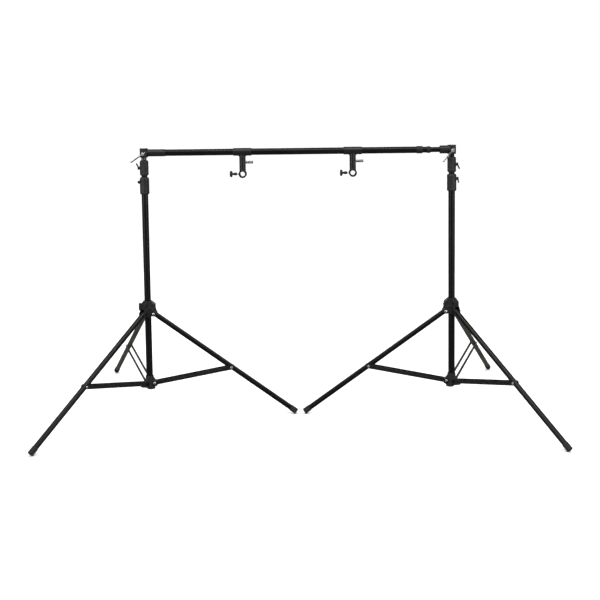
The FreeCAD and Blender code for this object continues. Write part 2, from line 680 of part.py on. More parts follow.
def bracket(name):
    solids = [
        cylinder(name + "_saddle", "<saddle_dia> / 2", "<saddle_length>", "X",
                 ("-<saddle_length> / 2", "0", "<bar_axis>")),
        cylinder(name + "_stem", "<stem_dia> / 2", "<bar_axis> - <bracket_ring>",
                 at=("0", "0", "<bracket_ring>")),
        cross_pin(name + "_eye", "<bracket_ring_dia> / 2", "<bracket_ring_depth>", ("0", "<bracket_ring>")),
    ]
    cast = fuse(name + "_cast", solids)
    doc.recompute()
    seam = [index for index, edge in enumerate(cast.Shape.Edges, start=1)
            if edge.BoundBox.ZMin > dim("bar_axis") - dim("saddle_dia") / 2 - 1
            and edge.BoundBox.XLength < dim("stem_dia") + 1 and edge.BoundBox.YLength > dim("stem_dia") / 3
            and edge.BoundBox.ZMax < dim("bar_axis")]
    rounded = doc.addObject("Part::Fillet", name + "_rounded")
    rounded.Base = cast
    rounded.Edges = [(index, dim("bracket_fillet"), dim("bracket_fillet")) for index in seam]
    return cut(name, rounded, [
        cylinder(name + "_bar_bore", "<base_dia> / 2 + <slip>", "<saddle_length> + 2", "X",
                 ("-<saddle_length> / 2 - 1", "0", "<bar_axis>")),
        cross_pin(name + "_bore", "<bracket_bore_dia> / 2", "<bracket_ring_depth> + 2", ("0", "<bracket_ring>")),
        cylinder(name + "_thumb_hole", "<thumb_screw_dia> / 2 + <slip>", "20", "X",
                 ("-20 - 5", "0", "<bracket_ring>")),
        cylinder(name + "_lock_hole", "<lock_screw_dia> / 2 + <slip>", "20", "X", ("3", "0", "<lock_screw>")),
    ])


def thumb_screw(name):
    """A round moulded knob on a threaded shank that reaches into the bracket's ring."""
    thing = revolved(name, [
        ("0", "<bracket_bore_dia> / 2 + 0.5"),
        ("<thumb_screw_dia> / 2", "<bracket_bore_dia> / 2 + 0.5"),
        ("<thumb_screw_dia> / 2", "24"),
        ("<thumb_neck_dia> / 2 - 1", "24"),
        ("<thumb_neck_dia> / 2", "28"),
        ("<thumb_neck_dia> / 2", "34"),
        ("<thumb_neck_dia> / 2 - 2", "39"),
        ("<thumb_neck_dia> / 2 - 2", "43"),
        ("<thumb_disc_dia> / 2 - 2", "43"),
        ("<thumb_disc_dia> / 2", "45.5"),
        ("<thumb_disc_dia> / 2", "51"),
        ("<thumb_disc_dia> / 2 - 3", "54"),
        ("0", "54"),
    ])
    thing.Placement = Placement(Vector(0, 0, dim("bracket_ring")), Rotation(Vector(0, 1, 0), -90))
    return thing


def lock_screw(name):
    """The plated screw that locks the bracket, with a long round head."""
    face = "<stem_dia> / 2 + 0.4"
    parts = [
        cylinder(name + "_shank", "<lock_screw_dia> / 2", f"{face} + 1 - 4", "X", ("4", "0", "<lock_screw>")),
        cylinder(name + "_head", "<lock_head_dia> / 2", "<lock_head_length>", "X", (face, "0", "<lock_screw>")),
    ]
    return fuse(name, parts)


for side, sign in (("left", -1), ("right", 1)):
    at_bracket = at_bar * Placement(Vector(sign * dim("bracket_place"), 0, 0), Rotation())
    keep(f"{side}_bracket", bracket(f"{side}_hanger"), at_bracket)
    keep(f"{side}_bracket_knob", thumb_screw(f"{side}_thumb"), at_bracket)
    keep(f"{side}_bracket_screw", lock_screw(f"{side}_lock"), at_bracket)


# ---- every object and every sub-part is sound before anything is written ----

doc.recompute()
failed = [thing.Name for thing in doc.Objects if set(thing.State) & {"Invalid", "Error"}]
for label, thing in nodes.items():
    if thing.Shape.isNull() or not thing.Shape.isValid() or not thing.Shape.Solids:
        failed.append(label)
if failed:
    raise RuntimeError("unsound objects: " + ", ".join(failed))

os.makedirs("parts", exist_ok=True)
whole = FreeCAD.BoundBox()
for label, thing in nodes.items():
    thing.Shape.exportStep(f"parts/{label}.step")
    whole.add(thing.Shape.BoundBox)
print(len(nodes), "nodes", whole)
print("leg angle", round(math.degrees(leg_angle), 3), "brace angle", round(math.degrees(brace_angle), 3),
      "brace length", round(dim("brace_length"), 3))
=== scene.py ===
import json
import math

import bmesh
import bpy
import numpy as np
from mathutils import Matrix, Vector


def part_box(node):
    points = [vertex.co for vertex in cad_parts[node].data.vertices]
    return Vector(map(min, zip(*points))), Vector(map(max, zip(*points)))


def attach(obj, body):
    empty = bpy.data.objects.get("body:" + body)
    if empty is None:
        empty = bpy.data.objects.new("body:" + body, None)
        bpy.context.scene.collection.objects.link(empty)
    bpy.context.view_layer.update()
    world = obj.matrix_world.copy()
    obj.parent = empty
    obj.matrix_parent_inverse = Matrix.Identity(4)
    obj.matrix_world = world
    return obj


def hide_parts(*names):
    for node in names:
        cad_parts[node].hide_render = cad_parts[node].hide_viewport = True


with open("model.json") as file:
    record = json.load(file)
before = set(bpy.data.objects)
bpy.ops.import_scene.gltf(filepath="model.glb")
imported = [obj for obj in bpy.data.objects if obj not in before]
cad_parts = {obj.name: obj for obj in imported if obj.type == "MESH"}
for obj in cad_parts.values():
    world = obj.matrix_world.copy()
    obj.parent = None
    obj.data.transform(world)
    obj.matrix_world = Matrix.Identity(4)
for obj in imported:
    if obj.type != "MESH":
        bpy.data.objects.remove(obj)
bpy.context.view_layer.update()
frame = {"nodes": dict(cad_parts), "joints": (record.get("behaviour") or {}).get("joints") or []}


# ---- Studio ------------------------------------------------------------------------------
# A pale seamless floor, two tall soft boxes in front, long ones overhead and behind, and a
# white surround. The camera stands about 3.9 m in front, a little above the crossbar.

def linear(code, alpha=1.0):
    """An sRGB hex colour as linear light: a channel up to 0.04045 over 12.92, the rest by the 2.4 power."""
    channels = np.array([int(code[i:i + 2], 16) for i in (1, 3, 5)]) / 255
    light = np.where(channels <= 0.04045, channels / 12.92, ((channels + 0.055) / 1.055) ** 2.4)
    return (*light.tolist(), alpha)


def add(tree, kind, values=None, links=None):
    """Adds one node; values are its settings or socket values, links join outputs to its input sockets."""
    node = tree.nodes.new(kind)
    for key, value in (values or {}).items():
        if key in node.inputs:
            node.inputs[key].default_value = value
        else:
            setattr(node, key, value)
    for key, output in (links or {}).items():
        tree.links.new(output, node.inputs[key])
    return node


def soft_box(name, place, aim, width, height, power):
    """A rectangular studio light at a place, facing the point it is aimed at."""
    lamp = bpy.data.lights.new(name, "AREA")
    lamp.shape = "RECTANGLE"
    lamp.size, lamp.size_y, lamp.energy = width, height, power
    stand = bpy.data.objects.new(name, lamp)
    bpy.context.scene.collection.objects.link(stand)
    stand.location = place
    stand.rotation_mode = "QUATERNION"
    stand.rotation_quaternion = (Vector(aim) - Vector(place)).to_track_quat("-Z", "Y")
    stand.visible_camera = False
    return stand


soft_box("left_soft_box", (-3.3, -2.8, 1.3), (-0.3, 0, 0.7), 0.9, 3.0, 42)
soft_box("right_soft_box", (3.3, -2.8, 1.3), (0.3, 0, 0.7), 0.9, 3.0, 42)
soft_box("overhead_soft_box", (0, -1.3, 3.4), (0, 0, 1.0), 4.2, 0.9, 60)
soft_box("rear_soft_box", (0, 3.4, 2.6), (0, 0, 0.8), 3.4, 1.4, 45)

# a broad even sky light over the whole floor, which doesn't show in the black tubes
ceiling = bpy.data.lights.new("ceiling_bounce", "SUN")
ceiling.angle = math.radians(110)
ceiling.energy = 2.7
bounce = bpy.data.objects.new("ceiling_bounce", ceiling)
bpy.context.scene.collection.objects.link(bounce)
bounce.visible_glossy = False

surround = bpy.data.worlds.new("white_surround")
bpy.context.scene.world = surround
surround.use_nodes = True
sky = surround.node_tree
sky.nodes.clear()
seen = add(sky, "ShaderNodeBackground", {"Color": (1, 1, 1, 1), "Strength": 1.0})
ray = add(sky, "ShaderNodeLightPath")
# the surround lights the floor at 0.4 and shows in the black tubes at half of that
dimmed = add(sky, "ShaderNodeMapRange", {"To Min": 0.4, "To Max": 0.2},
             {"Value": ray.outputs["Is Glossy Ray"]})
fill = add(sky, "ShaderNodeBackground", {"Color": (0.96, 0.98, 1, 1)}, {"Strength": dimmed.outputs["Result"]})
chosen = add(sky, "ShaderNodeMixShader")
sky.links.new(ray.outputs["Is Camera Ray"], chosen.inputs[0])
sky.links.new(fill.outputs[0], chosen.inputs[1])
sky.links.new(seen.outputs[0], chosen.inputs[2])
add(sky, "ShaderNodeOutputWorld", links={"Surface": chosen.outputs[0]})

floor_mesh = bpy.data.meshes.new("studio_floor")
reach = 40.0
floor_mesh.from_pydata([(-reach, -reach, 0), (reach, -reach, 0), (reach, reach, 0), (-reach, reach, 0)],
                       [], [(0, 1, 2, 3)])
studio_floor = bpy.data.objects.new("studio_floor", floor_mesh)
bpy.context.scene.collection.objects.link(studio_floor)
paper = bpy.data.materials.new("seamless_paper")
paper.use_nodes = True
paper.node_tree.nodes["Principled BSDF"].inputs["Base Color"].default_value = linear("#f6f6f6")
paper.node_tree.nodes["Principled BSDF"].inputs["Roughness"].default_value = 0.9
studio_floor.data.materials.append(paper)
studio_floor.visible_glossy = False

camera = bpy.data.objects.new("camera", bpy.data.cameras.new("camera"))
bpy.context.scene.collection.objects.link(camera)
camera.data.lens = 56.04
camera.data.shift_y = -0.2
yaw, pitch, roll = -0.0126, 0.0844, -0.0125
ahead = Vector((math.sin(yaw) * math.cos(pitch), math.cos(yaw) * math.cos(pitch), -math.sin(pitch)))
across = Vector((math.cos(yaw), -math.sin(yaw), 0))
above = across.cross(ahead)
level = math.cos(roll) * across + math.sin(roll) * above
upright = math.cos(roll) * above - math.sin(roll) * across
camera.matrix_world = Matrix((
    (level.x, upright.x, -ahead.x, 0.0585),
    (level.y, upright.y, -ahead.y, -3.936),
    (level.z, upright.z, -ahead.z, 1.3161),
    (0, 0, 0, 1)))
bpy.context.scene.camera = camera
bpy.context.scene.view_settings.view_transform = "Standard"


# ---- Column tubes ------------------------------------------------------------------------
# Each stand has three drawn aluminium tubes, 28, 25 and 22 mm, black anodised, one sliding
# in the next. Their ends are cut square and lightly broken with a chamfer.

def axes_about(direction):
    """Three unit vectors: two across the direction and the direction itself, right-handed."""
    along = Vector(direction).normalized()
    side = Vector((0, 0, 1)) if abs(along.z) < 0.9 else Vector((1, 0, 0))
    first = side.cross(along).normalized()
    return np.array([first, along.cross(first), along])


def softened(points, radius, closed=False, steps=3):
    """Rounds each corner of an outline with a parabola that starts and ends a radius away from the corner."""
    points = np.array(points, float)
    count = len(points)
    result = []
    for i, corner in enumerate(points):
        if not closed and i in (0, count - 1):
            result.append(corner)
            continue
        before, after = points[i - 1] - corner, points[(i + 1) % count] - corner
        gap = min(np.linalg.norm(before), np.linalg.norm(after)) * 0.45
        cut = min(radius, gap)
        start = corner + before / np.linalg.norm(before) * cut
        end = corner + after / np.linalg.norm(after) * cut
        share = np.linspace(0, 1, steps + 1)[:, None]
        result.extend((1 - share) ** 2 * start + 2 * share * (1 - share) * corner + share ** 2 * end)
    return np.array(result)


def turned(profile, centre, direction, segments=64, ring=False, flutes=None):
    """A lathe surface: each (radius, distance) point of the profile is carried round the axis.

    flutes = (count, depth, low, high) presses that many smooth hollows between two distances:
    radius - depth * (0.5 - 0.5 cos(count * angle)), fading in and out over a tenth of the stretch.
    A ring's profile is closed on itself; otherwise the ends meet the axis at a pole."""
    profile = np.array(profile, float)
    frame_axes = axes_about(direction)
    angle = np.linspace(0, 2 * np.pi, segments, endpoint=False)
    radius = np.repeat(profile[:, :1], segments, axis=1)
    if flutes:
        count, depth, low, high = flutes
        edge = (high - low) * 0.1
        fade = np.clip((profile[:, 1:] - low) / edge, 0, 1) * np.clip((high - profile[:, 1:]) / edge, 0, 1)
        radius = radius - depth * fade * (0.5 - 0.5 * np.cos(count * angle))
    local = np.stack([radius * np.cos(angle), radius * np.sin(angle),
                      np.repeat(profile[:, 1:], segments, axis=1)], axis=2)
    poles = [] if ring else [0, len(profile) - 1]
    rows = np.arange(len(profile))
    shells = [i for i in rows if i not in poles]
    points = local[shells].reshape(-1, 3)
    rank = len(shells)
    index = np.arange(rank * segments).reshape(rank, segments)
    following = np.roll(index, -1, axis=1)
    below, above_row = (index, np.roll(index, -1, axis=0)) if ring else (index[:-1], index[1:])
    below_next, above_next = ((following, np.roll(following, -1, axis=0)) if ring
                              else (following[:-1], following[1:]))
    faces = np.stack([below, below_next, above_next, above_row], axis=2).reshape(-1, 4).tolist()
    for row, ring_row, flip in ((0, 0, True), (len(profile) - 1, rank - 1, False)) if not ring else ():
        tip = len(points)
        points = np.vstack([points, [0, 0, profile[row, 1]]])
        edge_now, edge_next = index[ring_row], following[ring_row]
        fan = np.stack([edge_next, edge_now] if flip else [edge_now, edge_next], axis=1)
        faces += [[a, b, tip] for a, b in fan.tolist()]
    return points @ frame_axes + np.array(centre), faces


def piece(name, shells, body, material, stands_for=(), sharp=40):
    """One finished piece from closed shells: joined, smooth but for its sharp edges, and set on its body."""
    points, faces, start = [], [], 0
    for shell_points, shell_faces in shells:
        points.append(shell_points)
        faces += [[i + start for i in face] for face in shell_faces]
        start += len(shell_points)
    mesh = bpy.data.meshes.new(name)
    mesh.from_pydata(np.vstack(points).tolist(), [], faces)
    shape = bmesh.new()
    shape.from_mesh(mesh)
    bmesh.ops.recalc_face_normals(shape, faces=shape.faces)
    shape.to_mesh(mesh)
    shape.free()
    mesh.polygons.foreach_set("use_smooth", np.ones(len(mesh.polygons), bool))
    mesh.set_sharp_from_angle(angle=math.radians(sharp))
    mesh.materials.append(material)
    made = bpy.data.objects.new(name, mesh)
    bpy.context.scene.collection.objects.link(made)
    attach(made, body)
    if stands_for:
        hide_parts(*stands_for)
    return made


def worn(tree, scale_mm, low, high, mapping=None):
    """Patchy variation from handling: soft noise between two values, its blotches about scale_mm across."""
    place = mapping or add(tree, "ShaderNodeTexCoord").outputs["Object"]
    cloud = add(tree, "ShaderNodeTexNoise", {"Scale": 1000 / scale_mm, "Detail": 4.0}, {"Vector": place})
    return add(tree, "ShaderNodeMapRange", {"From Min": 0.3, "From Max": 0.7, "To Min": low, "To Max": high},
               {"Value": cloud.outputs["Fac"]}).outputs["Result"]


def anodised_tube(name, direction, deep="#030304", pale="#09090a"):
    """Black anodised drawn aluminium. Dye in the oxide gives a deep satin black; the die leaves fine lines
    along the tube, drawn here 0.5 mm apart instead of 0.05 mm so that they still catch the light."""
    material = bpy.data.materials.new(name)
    material.use_nodes = True
    tree = material.node_tree
    skin = tree.nodes["Principled BSDF"]
    skin.inputs["Metallic"].default_value = 0.0
    skin.inputs["Specular IOR Level"].default_value = 0.28
    turn = Vector((0, 0, 1)).rotation_difference(Vector(direction)).to_euler()
    place = add(tree, "ShaderNodeTexCoord").outputs["Object"]
    lined = add(tree, "ShaderNodeMapping", {"vector_type": "TEXTURE", "Rotation": turn, "Scale": (1, 1, 120)},
                {"Vector": place}).outputs["Vector"]
    lines = add(tree, "ShaderNodeTexNoise", {"Scale": 2000.0, "Detail": 2.0}, {"Vector": lined})
    tone = add(tree, "ShaderNodeMix", {"data_type": "RGBA"}, {"Factor": worn(tree, 60, 0.0, 1.0, place)})
    tone.inputs["A"].default_value = linear(deep)
    tone.inputs["B"].default_value = linear(pale)
    tree.links.new(tone.outputs["Result"], skin.inputs["Base Color"])
    tree.links.new(worn(tree, 25, 0.27, 0.36, place), skin.inputs["Roughness"])
    relief = add(tree, "ShaderNodeBump", {"Strength": 0.12, "Distance": 0.0002},
                 {"Height": lines.outputs["Fac"]})
    tree.links.new(relief.outputs["Normal"], skin.inputs["Normal"])
    return material


WALL, RIM = 0.0012, 0.0004


def tube_outline(radius, low, high):
    """The cut through a tube's wall, (radius, distance) between two ends, with all four rims chamfered."""
    bore = radius - WALL
    return [(bore + RIM, low), (radius - RIM, low), (radius, low + RIM), (radius, high - RIM),
            (radius - RIM, high), (bore + RIM, high), (bore, high - RIM), (bore, low + RIM)]


def tube_shell(node, axis):
    """A tube over a CAD tube's box, along one axis."""
    low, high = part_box(node)
    across_axis = (axis + 1) % 3
    radius = (high[across_axis] - low[across_axis]) / 2
    length = high[axis] - low[axis]
    start = (low + high) / 2
    start[axis] = low[axis]
    direction = [0, 0, 0]
    direction[axis] = 1
    return turned(tube_outline(radius, 0, length), start, direction, 72, ring=True)


column_black = anodised_tube("black_anodised_column", (0, 0, 1))
SIDES = ("left", "right")
COLUMN = {}
for side in SIDES:
    low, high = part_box(f"{side}_base_tube")
    COLUMN[side] = Vector(((low.x + high.x) / 2, (low.y + high.y) / 2, 0))
    for part, body in (("base", "column"), ("middle", "middle_riser"), ("top", "top_riser")):
        node = f"{side}_{part}_tube"
        piece(f"{side}_{part}_drawn_tube", [tube_shell(node, 2)], f"{side}_{body}", column_black,
              [node])


# ---- Top studs ---------------------------------------------------------------------------
# Turned steel studs, 16 mm, plugged into the top tubes. The waist is where a socket's screw
# bites; bright from the lathe, with its fine rings.

def lathe_steel():
    """Turned and brushed steel: bright metal whose tool rings, drawn coarse at 2.5 mm apart, spread the
    highlight."""
    material = bpy.data.materials.new("lathe_turned_steel")
    material.use_nodes = True
    tree = material.node_tree
    skin = tree.nodes["Principled BSDF"]
    skin.inputs["Base Color"].default_value = linear("#a9aaac")
    skin.inputs["Metallic"].default_value = 1.0
    place = add(tree, "ShaderNodeTexCoord").outputs["Object"]
    rings = add(tree, "ShaderNodeTexWave", {"bands_direction": "Z", "Scale": 125.0, "Distortion": 0.4},
                {"Vector": place})
    tree.links.new(worn(tree, 8, 0.25, 0.4, place), skin.inputs["Roughness"])
    relief = add(tree, "ShaderNodeBump", {"Strength": 0.2, "Distance": 0.0001},
                 {"Height": rings.outputs["Fac"]})
    tree.links.new(relief.outputs["Normal"], skin.inputs["Normal"])
    return material


stud_steel = lathe_steel()
for side in SIDES:
    low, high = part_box(f"{side}_stud")
    plug = (high.x - low.x) / 2
    tall = high.z - low.z
    outline = softened([(0, 0), (plug, 0), (plug, 0.0263), (0.008, 0.0263), (0.008, 0.035), (0.0068, 0.0365),
                        (0.0068, 0.045), (0.008, 0.0465), (0.008, tall - 0.0015), (0.0065, tall), (0, tall)],
                       0.0008)
    shell = turned(outline, COLUMN[side] + Vector((0, 0, low.z)), (0, 0, 1), 48)
    piece(f"{side}_turned_stud", [shell], f"{side}_top_riser", stud_steel, [f"{side}_stud"])


# the last 10 mm of the left top tube is drawn as bare metal under its socket head, a dull tan neck: the tan
# is a painted highlight, and the right stand's tube stays black there
bare = lathe_steel()
bare.name = "tan_neck_painted_highlight"
# its tan base colour is a painted highlight
bare.node_tree.nodes["Principled BSDF"].inputs["Base Color"].default_value = linear("#6e6a58")
low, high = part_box("left_top_tube")
neck = softened([(0.0109, 0), (0.01115, 0), (0.01115, 0.0102), (0.0109, 0.0102)], 0.0001, closed=True)
bare_shell = turned(neck, COLUMN["left"] + Vector((0, 0, high.z - 0.0104)), (0, 0, 1), 72, ring=True)
piece("left_bare_neck", [bare_shell], "left_top_riser", bare)


# ---- Castings ----------------------------------------------------------------------------
# Foot castings, hubs, socket heads and hanging brackets are pressure die castings: every edge
# has a small radius from the die, and a charcoal, olive or black powder coat covers it.

def cast_skin(node, body, material, grain=0.0009, passes=7):
    """The casting's own form with its edges rounded: a welded copy is rebuilt on a fine grid and relaxed."""
    mesh = frame["nodes"][node].data.copy()
    shape = bmesh.new()
    shape.from_mesh(mesh)
    bmesh.ops.remove_doubles(shape, verts=shape.verts, dist=1e-6)
    shape.to_mesh(mesh)
    shape.free()
    draft = bpy.data.objects.new(node + "_draft", mesh)
    bpy.context.scene.collection.objects.link(draft)
    rebuild = draft.modifiers.new("rebuild", "REMESH")
    rebuild.mode = "VOXEL"
    rebuild.voxel_size = grain
    relax = draft.modifiers.new("relax", "SMOOTH")
    relax.factor = 0.5
    relax.iterations = passes
    depsgraph = bpy.context.evaluated_depsgraph_get()
    solid = bpy.data.meshes.new_from_object(draft.evaluated_get(depsgraph))
    bpy.data.objects.remove(draft)
    solid.polygons.foreach_set("use_smooth", np.ones(len(solid.polygons), bool))
    solid.materials.clear()
    solid.materials.append(material)
    made = bpy.data.objects.new(node + "_cast", solid)
    bpy.context.scene.collection.objects.link(made)
    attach(made, body)
    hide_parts(node)
    return made


def powder_coat(name, deep, pale, grit_mm, roughness):
    """Powder coat on a die casting: melted grains about half a millimetre apart leave a fine orange peel that
    breaks up the highlight, a little paler and smoother where hands rub it."""
    material = bpy.data.materials.new(name)
    material.use_nodes = True
    tree = material.node_tree
    skin = tree.nodes["Principled BSDF"]
    place = add(tree, "ShaderNodeTexCoord").outputs["Object"]
    tone = add(tree, "ShaderNodeMix", {"data_type": "RGBA"}, {"Factor": worn(tree, 14, 0.0, 1.0, place)})
    tone.inputs["A"].default_value = linear(deep)
    tone.inputs["B"].default_value = linear(pale)
    tree.links.new(tone.outputs["Result"], skin.inputs["Base Color"])
    tree.links.new(worn(tree, 9, roughness - 0.06, roughness + 0.06, place), skin.inputs["Roughness"])
    peel = add(tree, "ShaderNodeTexNoise", {"Scale": 1000 / grit_mm, "Detail": 2.0}, {"Vector": place})
    relief = add(tree, "ShaderNodeBump", {"Strength": 0.35, "Distance": 0.0003},
                 {"Height": peel.outputs["Fac"]})
    tree.links.new(relief.outputs["Normal"], skin.inputs["Normal"])
    return material


charcoal = powder_coat("charcoal_powder_coat", "#0b0b0c", "#151516", 0.6, 0.45)
olive = powder_coat("olive_grey_powder_coat", "#161612", "#22221c", 0.6, 0.5)
for side in SIDES:
    cast_skin(f"{side}_foot_casting", f"{side}_column", olive)
    cast_skin(f"{side}_leg_hub", f"{side}_hub", charcoal)


# ---- Pivot bolts -------------------------------------------------------------------------
# A plain shank through each lug, a domed head at either end. The inner leg's bolts are
# bright zinc, the bright dots at the hub and at the foot of each column; the rest are dark.

def bright_plate(name, colour, roughness):
    """Bright zinc or nickel plate: a mirror-like metal, slightly clouded by finger marks 3 mm across."""
    material = bpy.data.materials.new(name)
    material.use_nodes = True
    tree = material.node_tree
    skin = tree.nodes["Principled BSDF"]
    skin.inputs["Base Color"].default_value = linear(colour)
    skin.inputs["Metallic"].default_value = 1.0
    place = add(tree, "ShaderNodeTexCoord").outputs["Object"]
    tree.links.new(worn(tree, 3, roughness * 0.7, roughness * 1.4, place), skin.inputs["Roughness"])
    fine = add(tree, "ShaderNodeTexNoise", {"Scale": 1600.0, "Detail": 2.0}, {"Vector": place})
    relief = add(tree, "ShaderNodeBump", {"Strength": 0.05, "Distance": 0.0001},
                 {"Height": fine.outputs["Fac"]})
    tree.links.new(relief.outputs["Normal"], skin.inputs["Normal"])
    return material


zinc = bright_plate("zinc_plate", "#e8e9ea", 0.22)
JOINT = {joint["name"]: joint for joint in frame["joints"]}
LEGS = ("front", "back", "inner")


def domed_bolt(centre, across_leg, grip, shank=0.003, head=0.006, rise=0.0034):
    """A bolt centred on its pivot: a straight shank and, at each end, a dome that falls off as a circle."""
    bend = np.linspace(0, 1, 7)
    half = grip / 2
    cap = [(head * np.sin(b * np.pi / 2), half + rise * (0.3 + 0.7 * np.cos(b * np.pi / 2))) for b in bend]
    top = [*cap, (head, half), (shank, half)]
    bottom = [(r, -z) for r, z in reversed(top)]
    return turned([*top, *bottom], centre, across_leg, 32)


blackened = bright_plate("blackened_steel", "#2b2b2c", 0.35)
for side in SIDES:
    for label, joint_word, body, grip in (("hub", "leg", "hub", 0.032), ("foot", "brace", "column", 0.0282)):
        bolts = {}
        for leg in LEGS:
            pivot = JOINT[f"{side}_{joint_word}_{leg}_fold"]
            bolts[leg] = domed_bolt(pivot["pos_m"], pivot["axis"], grip)
        piece(f"{side}_{label}_bright_bolt", [bolts["inner"]], f"{side}_{body}", zinc,
              [f"{side}_{label}_bolts"])
        piece(f"{side}_{label}_dark_bolts", [bolts["front"], bolts["back"]], f"{side}_{body}", blackened)


# ---- Hub knobs ---------------------------------------------------------------------------
# The knob that locks the hub to the column: a moulded bar grip on a short screw, with a red
# insert wrapped over its middle so that it can be found in dim light.

def moulded_nylon(name, deep, pale, roughness):
    """Glass-filled nylon as moulded, with a faint spark-eroded grain about 0.8 mm coarse."""
    return powder_coat(name, deep, pale, 0.8, roughness)


def swept(line, half_wide, half_thick, side_way, power=2.6, around=28):
    """A bar along a line of points: each section is a superellipse, |w|^p + |t|^p = 1, scaled to the half
    widths given at each point, and the first and last points close it."""
    line = np.array(line, float)
    tangent = np.gradient(line, axis=0)
    tangent /= np.linalg.norm(tangent, axis=1)[:, None]
    side_way = np.array(side_way, float)
    thick_way = np.cross(tangent, side_way)
    angle = np.linspace(0, 2 * np.pi, around, endpoint=False)
    wide = np.sign(np.cos(angle)) * np.abs(np.cos(angle)) ** (2 / power)
    thick = np.sign(np.sin(angle)) * np.abs(np.sin(angle)) ** (2 / power)
    wide_now = np.array(half_wide)[1:-1, None, None] * wide[None, :, None] * side_way
    thick_now = np.array(half_thick)[1:-1, None, None] * thick[None, :, None] * thick_way[1:-1, None, :]
    points = (line[1:-1, None, :] + wide_now + thick_now).reshape(-1, 3)
    rank = len(line) - 2
    index = np.arange(rank * around).reshape(rank, around)
    following = np.roll(index, -1, axis=1)
    faces = np.stack([index[:-1], following[:-1], following[1:], index[1:]], axis=2).reshape(-1, 4).tolist()
    tips = len(points)
    points = np.vstack([points, line[:1], line[-1:]])
    faces += [[b, a, tips] for a, b in zip(index[0].tolist(), following[0].tolist())]
    faces += [[a, b, tips + 1] for a, b in zip(index[-1].tolist(), following[-1].tolist())]
    return points, faces


def laid(shell, origin, axes):
    """Moves a shell drawn in its own x, y, z to an origin and three unit vectors."""
    points, faces = shell
    return points @ np.array(axes) + np.array(origin), faces


def knob_axes(joint, spin_degrees):
    """Axes of a knob on its screw: x out along the screw, z along the grip, turned about x by the spin."""
    out = Vector(joint["axis"]).normalized()
    up = Vector((0, 0, 1))
    side_way = up.cross(out)
    spin = math.radians(spin_degrees)
    grip = math.cos(spin) * up - math.sin(spin) * side_way
    return np.array([out, grip.cross(out), grip])


GRIP_HALF_SPAN, GRIP_HALF_WIDE, GRIP_NEAR, GRIP_FAR = 0.0165, 0.0063, 0.0285, 0.0390


def hub_grip():
    """The grip along z, between two distances on its screw's x: a superellipse bar whose ends close as a
    circle and whose middle is drawn in by a Gaussian waist, on a round shoulder and the screw's end."""
    share = np.sin(np.linspace(-np.pi / 2, np.pi / 2, 25))
    swell = np.sqrt(np.clip(1 - share ** 2, 0, 1))
    waist = 1 - 0.16 * np.exp(-(share / 0.35) ** 2)
    line = np.stack([np.full(25, (GRIP_NEAR + GRIP_FAR) / 2), np.zeros(25), share * GRIP_HALF_SPAN], axis=1)
    bar = swept(line, GRIP_HALF_WIDE * np.clip(swell * 1.7, 0, 1) * waist,
                (GRIP_FAR - GRIP_NEAR) / 2 * np.clip(swell * 2.2, 0, 1), (0, 1, 0), 3.2)
    shoulder = turned(softened([(0, GRIP_NEAR), (0.0078, GRIP_NEAR), (0.0082, GRIP_NEAR + 0.007),
                                (0.0066, GRIP_FAR - 0.001), (0, GRIP_FAR - 0.001)], 0.001),
                      (0, 0, 0), (1, 0, 0), 40)
    shank = turned([(0, 0.0150), (0.003, 0.0150), (0.003, GRIP_NEAR + 0.001), (0, GRIP_NEAR + 0.001)],
                   (0, 0, 0), (1, 0, 0), 24)
    return bar, shoulder, shank


def hub_inlay():
    """The red insert: a squarer superellipse, wrapped over the middle of the grip to show on both sides."""
    share = np.linspace(-1, 1, 13)
    swell = (1 - share ** 8) ** 0.5
    line = np.stack([np.full(13, GRIP_FAR - 0.0034), np.zeros(13), share * 0.0095], axis=1)
    return swept(line, (GRIP_HALF_WIDE + 0.0003) * swell, 0.0038 * swell, (0, 1, 0), 4.0)


knob_nylon = moulded_nylon("black_moulded_nylon", "#09090a", "#111112", 0.4)
red_nylon = moulded_nylon("red_moulded_nylon", "#7a1616", "#8f2120", 0.38)
GRIP_SPIN = {"left": 0, "right": 62}
for side in SIDES:
    joint = JOINT[f"{side}_hub_knob_turn"]
    base, axes = Vector(joint["pos_m"]), knob_axes(joint, GRIP_SPIN[side])
    piece(f"{side}_hub_grip", [laid(shell, base, axes) for shell in hub_grip()],
          f"{side}_hub_knob", knob_nylon, [f"{side}_hub_knob"])
    piece(f"{side}_hub_grip_inlay", [laid(hub_inlay(), base, axes)], f"{side}_hub_knob", red_nylon)


# ---- Legs and rubber feet ----------------------------------------------------------------
# 22 mm anodised tube, pinned in the hub's forks. A moulded rubber cap with three hollows
# round it is pushed over each lower end and stands on a small flat.

def node_points(node):
    """Every distinct corner of a CAD piece."""
    mesh = frame["nodes"][node].data
    points = np.zeros(len(mesh.vertices) * 3)
    mesh.vertices.foreach_get("co", points)
    return np.unique(points.reshape(-1, 3).round(6), axis=0)


def far_end(node, pivot, share=0.985):
    """The middle of a piece's end furthest from its pivot, from the ring of points there."""
    points = node_points(node)
    distance = np.linalg.norm(points - np.array(pivot), axis=1)
    return Vector(points[distance > distance.max() * share].mean(axis=0))


def foot_rubber():
    """Moulded rubber: dull black with a pale bloom and dust worked into a grain about 1 mm coarse."""
    return powder_coat("moulded_rubber", "#101010", "#1f1e1d", 1.0, 0.75)


def foot_outline(tip):
    """Half of a rubber cap's cut: flat tip, three hollows in its side, and the socket for the leg."""
    outside, hollow, socket = 0.0125, 0.0119, 0.0111
    outline = [(0, tip), (outside, tip), (outside, tip - 0.004)]
    for row in range(3):
        start = tip - 0.006 * (row + 1)
        outline += [(hollow, start), (hollow, start - 0.002),
                    (outside, start - 0.003), (outside, start - 0.005)]
    outline += [(outside, tip - 0.0285), (0.0116, tip - 0.03), (socket, tip - 0.03), (socket, tip - 0.005),
                (0, tip - 0.005)]
    return softened(outline, 0.0007)


